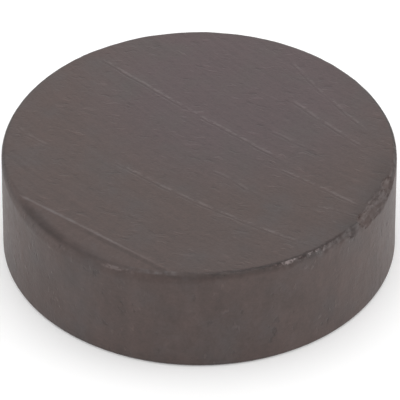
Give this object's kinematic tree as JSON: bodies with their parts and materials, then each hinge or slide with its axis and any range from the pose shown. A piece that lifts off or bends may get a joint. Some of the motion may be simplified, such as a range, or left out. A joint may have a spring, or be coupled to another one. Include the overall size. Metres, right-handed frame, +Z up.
{
  "type": "disc magnet",
  "caption": "Flat round ferrite magnet with ground faces, a pressed wall, a low unground corner and a chipped rim.",
  "frame": {"origin": "centre of the lower ground face, on the disc's axis", "axes": "+Z up along the disc's axis, from the lower ground face to the upper one; the low corner faces -X and -Y, and the chipped rim faces +X"},
  "size_m": [0.0176, 0.0176, 0.0051],
  "materials": {
    "ferrite": "satin"
  },
  "bodies": {
    "root": {"magnet_disc": "ferrite"}
  },
  "joints": []
}
